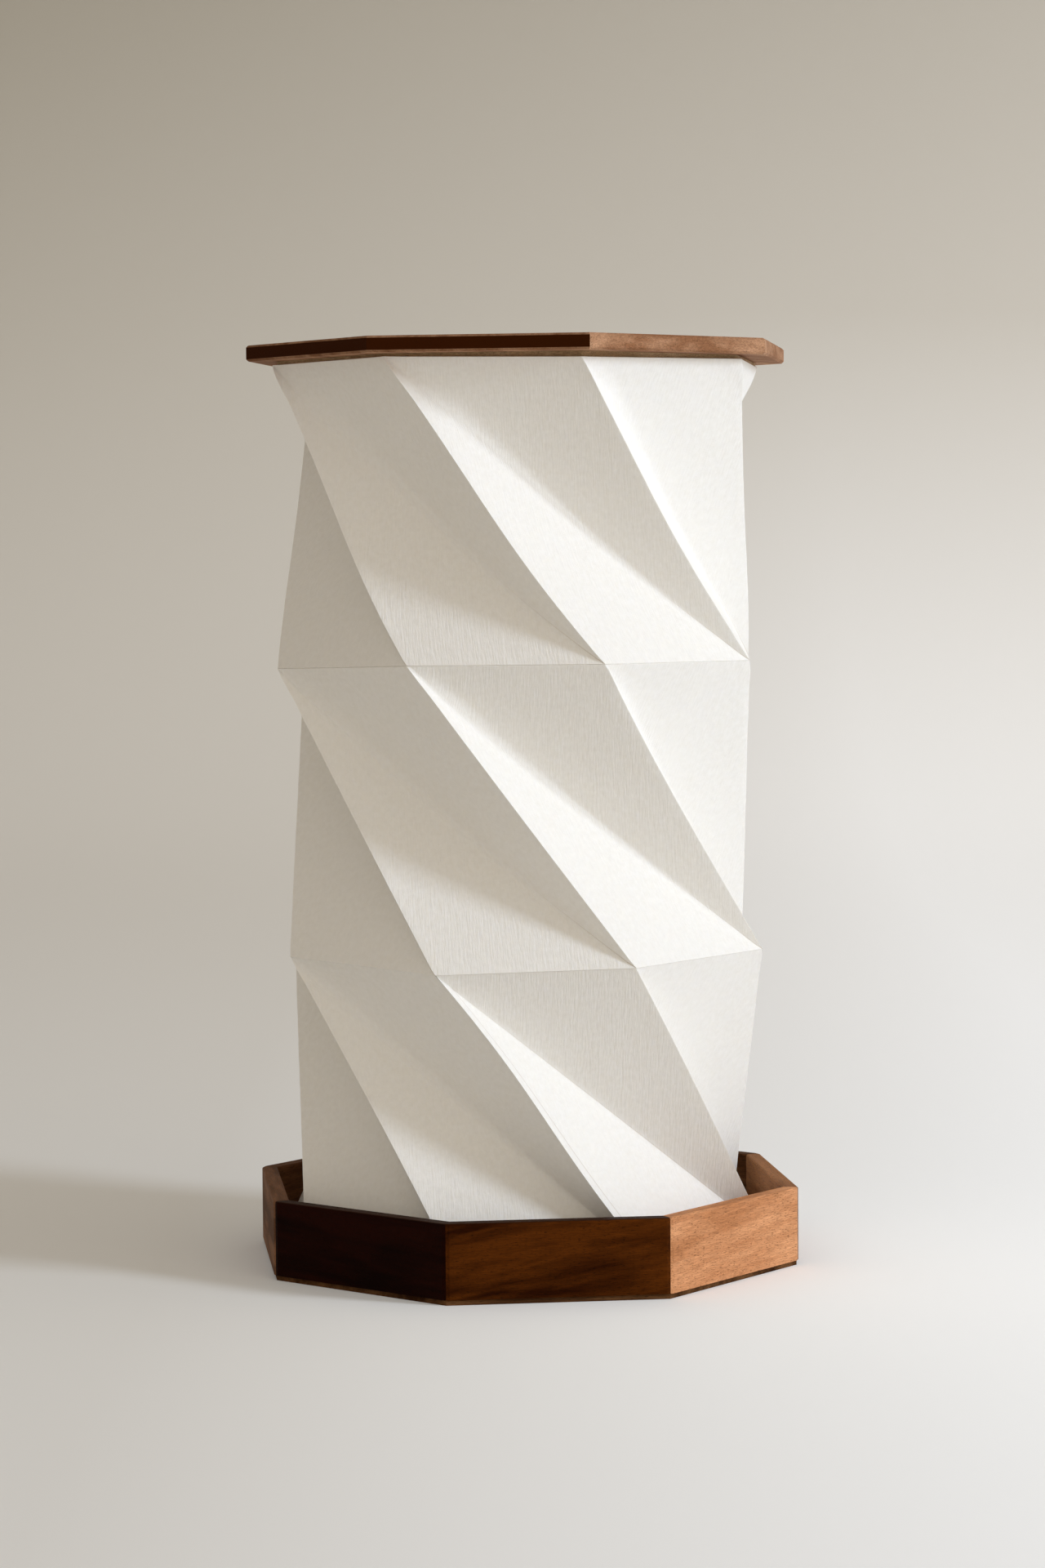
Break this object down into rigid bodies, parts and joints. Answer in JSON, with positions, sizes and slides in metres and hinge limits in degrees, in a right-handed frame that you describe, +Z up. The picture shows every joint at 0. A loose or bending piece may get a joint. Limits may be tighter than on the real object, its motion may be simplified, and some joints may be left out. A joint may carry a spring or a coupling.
{
  "type": "pleated paper table lamp",
  "caption": "Octagonal table lamp: a twisted, folded paper shade in stacked tiers under a wooden plate, standing in a low mitred wooden tray over a screw-in bulb.",
  "frame": {"origin": "centre of the tray's underside, on the surface that the lamp stands on", "axes": "+Z up the lamp, -Y through the middle of the tray's front wall, +Y through its rear wall with the way in for the lead, +X to the right"},
  "size_m": [0.2106, 0.2106, 0.3518],
  "materials": {
    "tray_wood": "oiled",
    "plate_wood": "oiled",
    "base_wood": "sawn",
    "frame_wood": "sanded",
    "dowel_wood": "sanded",
    "shade_paper": "matte, fibrous",
    "holder_plastic": "satin",
    "holder_ceramic": "glazed",
    "brass": "bright",
    "steel": "satin",
    "bushing": "matte",
    "bulb_metal": "bright",
    "bulb_black_glass": "gloss",
    "bulb_plastic": "satin",
    "bulb_frosted_dome": "frosted",
    "circuit_board": "satin",
    "led_board_metal": "white coated",
    "led_phosphor": "satin"
  },
  "bodies": {
    "tray": {"base_board": "base_wood", "base_screws": "steel", "lead_bushing": "bushing", "tray_wall_front": "tray_wood", "tray_wall_front_right": "tray_wood", "tray_wall_right": "tray_wood", "tray_wall_rear_right": "tray_wood", "tray_wall_rear": "tray_wood", "tray_wall_rear_left": "tray_wood", "tray_wall_left": "tray_wood", "tray_wall_front_left": "tray_wood", "tray_floor": "base_wood", "locating_dowels": "dowel_wood", "threaded_nipple": "brass", "nipple_lower_nut": "brass", "nipple_upper_nut": "brass", "nipple_washer": "steel", "lampholder_cap": "holder_plastic", "cap_grub_screw": "steel", "terminal_screws": "brass", "lampholder_insulator": "holder_ceramic", "lampholder_skirt": "holder_plastic", "lampholder_screw_shell": "brass", "lampholder_centre_contact": "brass"},
    "bulb": {"bulb_tip_contact": "bulb_metal", "bulb_insulator": "bulb_black_glass", "bulb_screw_cap": "bulb_metal", "bulb_housing": "bulb_plastic", "bulb_driver_board": "circuit_board", "led_board": "led_board_metal", "led_chips": "led_phosphor", "bulb_globe": "bulb_frosted_dome"},
    "shade": {"shade_tier_lower": "shade_paper", "shade_tier_middle": "shade_paper", "shade_tier_upper": "shade_paper", "shade_bottom_frame": "frame_wood", "shade_top_frame": "frame_wood", "top_frame_screws": "steel", "top_plate": "plate_wood"}
  },
  "joints": [
    {"name": "shade_lift", "type": "slide", "parent": "tray", "child": "shade", "axis": [0, 0, 1], "range_m": [0, 0.25]},
    {"name": "bulb_withdraw", "type": "slide", "parent": "tray", "child": "bulb", "axis": [0, 0, 1], "range_m": [0, 0.08]}
  ]
}
